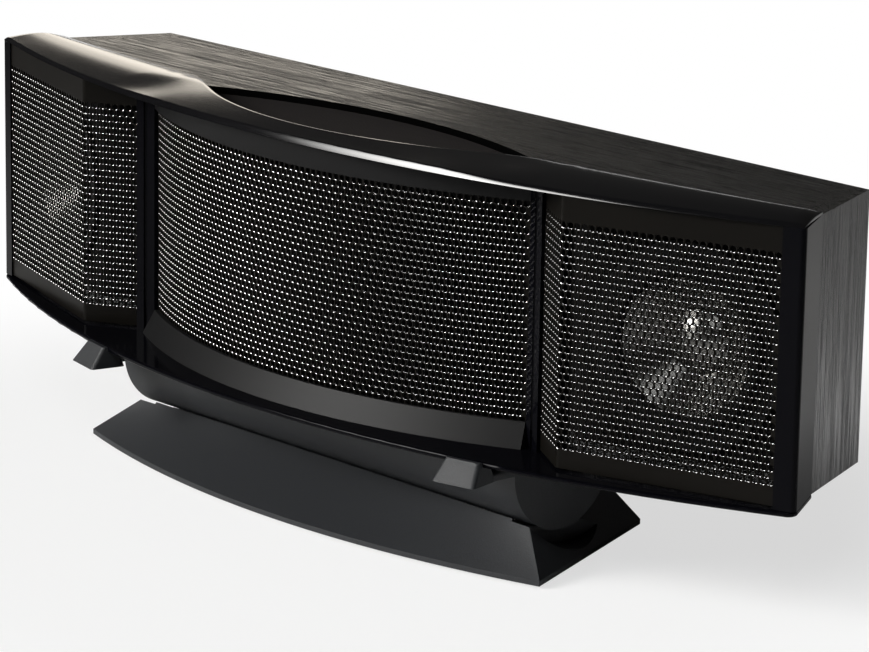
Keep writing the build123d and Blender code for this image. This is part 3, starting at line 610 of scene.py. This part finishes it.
# %% Top trim
TRIM_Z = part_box("top_trim")[0][2] / MM
TRIM_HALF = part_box("top_trim")[1][0] / MM
TRIM_END_Y = 2.0
TOP_BOW = 72.0
SHOULDER = np.array([355.0, 38.0])
LEAF_HALF = 161.0
LEAF_TIP_Y = 5.5
LEAF_FRONT_Y = -49.0
KNEE = np.array([186.0, 19.0])
RISE = 6.5
END_RISE = 5.2
TAPER = 1.6
REAR_EDGE = 1.4
NOSE_DEPTH = 1.8
NOSE_SHARE = 0.60
END_NOSE_SHARE = 0.40
END_CREST = 0.56
NOSE_START = 1.35
FALL_POWER = 1.6
LIP_DROP = 0.8
LIP_ROLL = 1.6
END_ROLL = 9.0
LIP_FROM_X = 125.0
LIP_UNTIL_X = 195.0


def bow(x, half, end, depth):
    """Depth of a bowed edge at x: an arc through both ends that leans forward."""
    radius = (half**2 + depth**2) / (2 * depth)
    return end - depth + radius - np.sqrt(radius**2 - x**2)


def eased(value):
    """Smooth step from 0 to 1."""
    t = np.clip(value, 0, 1)
    return t * t * (3 - 2 * t)


def trim_points(across, along):
    """Top surface over across (-1..1) and along (0 front, 1 rear)."""
    front_x = across * TRIM_HALF
    front_y = bow(front_x, TRIM_HALF, TRIM_END_Y, TOP_BOW)
    out = np.abs(front_x)
    rear_x = out - (TRIM_HALF - SHOULDER[0]) * eased((out - KNEE[0]) / (TRIM_HALF - KNEE[0]))
    leaf = bow(np.minimum(rear_x, LEAF_HALF), LEAF_HALF, LEAF_TIP_Y, LEAF_TIP_Y - LEAF_FRONT_Y)
    seam = np.interp(rear_x, [LEAF_HALF, KNEE[0], SHOULDER[0]], [LEAF_TIP_Y, KNEE[1], SHOULDER[1]])
    rear_y = np.where(rear_x < LEAF_HALF, leaf, seam)
    rise = RISE + (END_RISE - RISE) * (out / TRIM_HALF) ** TAPER
    past = np.clip((out - TRIM_HALF + END_ROLL) / END_ROLL, 0, 1)
    rise = REAR_EDGE + (rise - REAR_EDGE) * np.sqrt(1 - past**2)
    share = eased((rear_x - LIP_FROM_X) / (LIP_UNTIL_X - LIP_FROM_X))
    edge = rise + share * (REAR_EDGE - rise)
    width = np.hypot(rear_y - front_y, rear_x - out)
    crest = 1 + share * (END_CREST - 1)
    nose_share = NOSE_SHARE + share * (END_NOSE_SHARE - NOSE_SHARE)
    up = np.clip(along * width / NOSE_DEPTH, 0, 1)
    nose = up * (NOSE_START - (NOSE_START - 1) * up)
    arch = np.sin(np.clip(along / crest, 0, 1) * np.pi / 2)
    crown = along + share * (arch - along)
    fall = np.clip((along - crest) / np.maximum(1 - crest, 0.01), 0, 1) ** FALL_POWER
    roll = np.clip(1 - (1 - along) * width / LIP_ROLL, 0, 1) ** 2
    z = TRIM_Z + rise * (nose_share * nose + (1 - nose_share) * crown) - (rise - edge) * fall
    z = z - LIP_DROP * (1 - share) * roll
    x = np.sign(front_x) * (out + along * (rear_x - out))
    y = front_y + along * (rear_y - front_y)
    return np.stack([x, y, z], axis=-1)


across = np.sin(np.linspace(-0.5, 0.5, 361) * np.pi)[:, None]
along = (np.linspace(0, 1, 49) ** 2)[None, :]
top = trim_points(across, along)
under = top[:, ::-1].copy()
under[..., 2] = TRIM_Z
loop = np.concatenate([top, under[:, :-1], top[:, :1]], axis=1)
points = loop.reshape(-1, 3)
faces = quads_of_grid(loop.shape[0], loop.shape[1])
for end, side in ((0, -1), (-1, 1)):
    cap = np.concatenate([top[end], top[end] * np.array([1, 1, 0]) + np.array([0, 0, TRIM_Z])])
    quads = quads_of_grid(2, len(top[end]), len(points))
    points = np.vstack([points, cap])
    faces = np.vstack([faces, quads[:, ::-side]])
points, faces, _ = welded(points * MM, faces, 1e-7)
piece("crowned_trim", points, faces, "speaker", "gloss_black", polish, ["top_trim"], 50.0)

# %% [markdown]
# ## The woven vent
# Behind the trim, sound leaves through a leaf-shaped vent under stretched black cloth. A plain weave is
# two sets of threads that pass over and under: the product of two sine waves.

# %% Vent cloth
cloth = Finish("vent_weave")
THREAD = 5200.0
phases = [cloth.part(cloth.place, axis) * THREAD for axis in "XY"]
warp, weft = [cloth.node("ShaderNodeMath", {"operation": "SINE"}, {0: phase}) for phase in phases]
weave = warp * weft * 0.5 + 0.5
lint = cloth.noise(cloth.place, 220.0, 4.0)
shade = weave * 0.6 + lint * 0.4
cloth.set(
    base_color=cloth.blend(shade, (0.0040, 0.0031, 0.0030), (0.0120, 0.0090, 0.0085)),
    roughness=0.88 + lint * 0.1,
    normal=cloth.bump(weave, 0.6, 0.0003),
    specular_ior_level=0.2,
)

CLOTH_LOW, CLOTH_HIGH = (v[2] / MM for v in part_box("vent_cloth"))
CLOTH_HALF = 159.0
CLOTH_TIP_Y = 4.5
CLOTH_BACK_Y = 39.5
CLOTH_FRONT_Y = -51.5
BELOW_RIM = 0.2
SAG = 0.8


def leaf_points(across, along, z, sag):
    """Leaf over across (-1..1) and along (0 front, 1 rear), sunk a little in its middle."""
    x = across * CLOTH_HALF
    front = bow(x, CLOTH_HALF, CLOTH_TIP_Y, CLOTH_TIP_Y - CLOTH_FRONT_Y)
    rear = CLOTH_TIP_Y + (CLOTH_BACK_Y - CLOTH_TIP_Y) * (1 - across**2)
    y = front + along * (rear - front)
    dip = sag * (1 - across**2) * 4 * along * (1 - along)
    return np.stack([np.broadcast_to(x, y.shape), y, z - dip], axis=-1)


across = np.linspace(-1, 1, 121)[:, None]
along = np.linspace(0, 1, 31)[None, :]
upper = leaf_points(across, along, CLOTH_HIGH - BELOW_RIM, SAG)
lower = leaf_points(across, along, CLOTH_LOW, 0.0)
loop = np.concatenate([upper, lower[:, ::-1], upper[:, :1]], axis=1)
faces = quads_of_grid(loop.shape[0], loop.shape[1])
points, faces, _ = welded(loop.reshape(-1, 3) * MM, faces, 1e-7)
vent = piece("vent_weave_sheet", points, faces, "speaker", "vent_cloth", cloth, ["vent_cloth"])

# %% [markdown]
# ## Fluted knobs
# The wires are held by two screw caps with a fluted grip, one red and one black. The radius is a base
# circle with a fluting wave, faded out towards both ends, carried along the knob's own axis.


# %% Binding knobs
FLUTES = 18
FLUTE_DEPTH = 0.07
BORE = 0.383


def knob(name, node, slot, finish):
    """Fluted cap round the stud, a closed ring of sections along Y."""
    low, high = (np.array(v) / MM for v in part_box(node))
    centre = (low + high) / 2
    length = high[1] - low[1]
    radius = (high[0] - low[0]) / 2
    station = np.array([0, 0.02, 0.08, 0.16, 0.5, 0.84, 0.93, 1.0, 1.0, 1.0, 0.5, 0, 0])[:, None]
    outside = [0.80, 0.90, 0.96, 0.98, 0.98, 0.98, 0.94, 0.84, 0.60]
    share = np.array([*outside, BORE, BORE, BORE, outside[0]])[:, None]
    grip = np.array([0, 0, 0.3, 1, 1, 1, 0.3, 0, 0, 0, 0, 0, 0])[:, None]
    turn = np.linspace(0, 2 * np.pi, 145)[None, :]
    r = radius * share * (1 - FLUTE_DEPTH * grip * (0.5 - 0.5 * np.cos(FLUTES * turn)))
    y = np.broadcast_to(low[1] + station * length, r.shape)
    loop = np.stack([centre[0] + r * np.cos(turn), y, centre[2] + r * np.sin(turn)], axis=-1)
    points, faces, _ = welded(loop.reshape(-1, 3) * MM, quads_of_grid(*loop.shape[:2]), 1e-7)
    piece(name, points, faces[:, ::-1], node, slot, finish, [node], 40.0)


red = mottled("red_knob", (0.30, 0.012, 0.010), (0.40, 0.020, 0.016), 300.0, 0.3)
knob("positive_knob", "positive_nut", "nut_red", red)
knob("negative_knob", "negative_nut", "nut_black", moulded)

# %% [markdown]
# ## A white floor
# The photograph is a catalogue shot on a white sweep. More light would bleach the object, so the floor
# itself turns white where the camera sees it, and keeps a share of its shade close to the object, where
# the shadow lies. Mirror and glass rays get the white only far out, so that black stays black.

# %% Floor
SHADE_KEPT = 0.34
SHADE_FADES = (0.30, 0.62)
MIRROR_WHITENS = (2.0, 4.5)
REACH = 14.0
floor_finish = Finish("pale_floor")
mist = floor_finish.noise(floor_finish.place, 2.0, 2.0)
pale = floor_finish.blend(mist, (0.90, 0.90, 0.90), (0.92, 0.92, 0.92))
floor_finish.set(base_color=pale, roughness=0.9)
length = {"operation": "LENGTH"}
distance = floor_finish.node("ShaderNodeVectorMath", length, {0: floor_finish.place}, "Value")
kinds = ("Is Camera Ray", "Is Glossy Ray", "Is Transmission Ray")
seen, mirrored, through = [floor_finish.node("ShaderNodeLightPath", {}, {}, kind) for kind in kinds]
near = (1 - SHADE_KEPT) + SHADE_KEPT * floor_finish.between(distance, *SHADE_FADES)
far = floor_finish.between(distance, *MIRROR_WHITENS)
lift = near * seen + far * (mirrored + through)
glow = {"Color": (1, 1, 1, 1), "Strength": 1.0}
floor_finish.cover(lift, floor_finish.node("ShaderNodeEmission", {}, glow))
floor_mesh = bpy.data.meshes.new("floor")
corners = np.array([(-1, -1, 0), (1, -1, 0), (1, 1, 0), (-1, 1, 0)]) * REACH
floor_mesh.from_pydata(corners, [], [(0, 1, 2, 3)])
floor_mesh.materials.append(floor_finish.material)
floor = bpy.data.objects.new("floor", floor_mesh)
bpy.context.scene.collection.objects.link(floor)
print("floor reaches", REACH, "m each way")

# %% [markdown]
# ## Light
# Black objects are lit by what they mirror. The key is a large box at the front left with a grid, whose
# narrow beam draws a stroke on each hole's rim. A low warm lamp at the back left runs along the trim. A
# small lamp over the floor behind the right end makes the patch that the side mirrors, and a fill at
# the front right opens up the base.

# %% Light
world = bpy.data.worlds.new("studio")
bpy.context.scene.world = world
world.use_nodes = True
world.node_tree.nodes["Background"].inputs[0].default_value = (1.0, 0.98, 0.95, 1)
world.node_tree.nodes["Background"].inputs[1].default_value = 0.04


def softbox(name, place, target, size, watts, colour, spread=np.pi):
    """A rectangular area light that looks at a point; a small spread stands for a grid before it."""
    data = bpy.data.lights.new(name, "AREA")
    data.shape = "RECTANGLE"
    data.size, data.size_y = size
    data.energy = watts
    data.color = colour
    data.spread = spread
    lamp = bpy.data.objects.new(name, data)
    lamp.location = place
    lamp.rotation_euler = (Vector(target) - Vector(place)).to_track_quat("-Z", "Y").to_euler()
    bpy.context.scene.collection.objects.link(lamp)
    print(name, "lamp,", watts, "W")


softbox("key", (-1.05, -1.95, 1.20), (0.18, 0, 0.12), (2.2, 1.3), 14.0, (1.0, 0.99, 0.97), 0.65)
softbox("back_left", (-2.52, 1.65, 0.59), (0, 0, 0.2), (1.05, 0.60), 3.9, (1.0, 0.92, 0.80))
softbox("wash", (0.44, 0.50, 0.30), (0.44, 0.50, 0.0), (0.2, 0.2), 0.36, (1.0, 1.0, 1.0), 1.4)
softbox("fill", (1.2, -1.2, 1.6), (0.1, 0, 0.1), (0.8, 0.8), 8.0, (0.97, 0.99, 1.0))

# %% [markdown]
# ## Camera
# The picture was taken with a long lens from the right and a little above. Its place was worked out by
# fitting the edges of box, trim and base, and the numbers of that fit are turned into a camera here.

# %% Camera
AZIMUTH, ELEVATION, ROLL = np.radians((47.74, 14.02, 0.99))
FIT_SCALE = 1.0745
FIT_ORIGIN = np.array([0.0, 3.9, -69.5])
FIT_DISTANCE = 2412.27
FIT_SHIFT = (48.63, 33.37)
FOCAL_PIXELS = 4113.15
IMAGE_WIDTH = 869

level = np.cos(ELEVATION)
back = np.array([np.sin(AZIMUTH) * level, -np.cos(AZIMUTH) * level, np.sin(ELEVATION)])
right = np.array([np.cos(AZIMUTH), np.sin(AZIMUTH), 0.0])
up = np.cross(back, right)
rolled_right = np.cos(ROLL) * right + np.sin(ROLL) * up
rolled_up = -np.sin(ROLL) * right + np.cos(ROLL) * up
eye = back * FIT_DISTANCE + rolled_right * FIT_SHIFT[0] + rolled_up * FIT_SHIFT[1]
eye = FIT_SCALE * (eye - FIT_ORIGIN) * MM

lens = bpy.data.cameras.new("camera")
lens.sensor_width = 36.0
lens.lens = FOCAL_PIXELS / IMAGE_WIDTH * lens.sensor_width
camera = bpy.data.objects.new("camera", lens)
turn = Matrix([rolled_right, rolled_up, back]).transposed()
camera.matrix_world = Matrix.Translation(Vector(eye)) @ turn.to_4x4()
bpy.context.scene.collection.objects.link(camera)
bpy.context.scene.camera = camera
bpy.context.scene.view_settings.view_transform = "Standard"
print("camera at", [round(float(v), 4) for v in eye], "lens", round(lens.lens, 1))
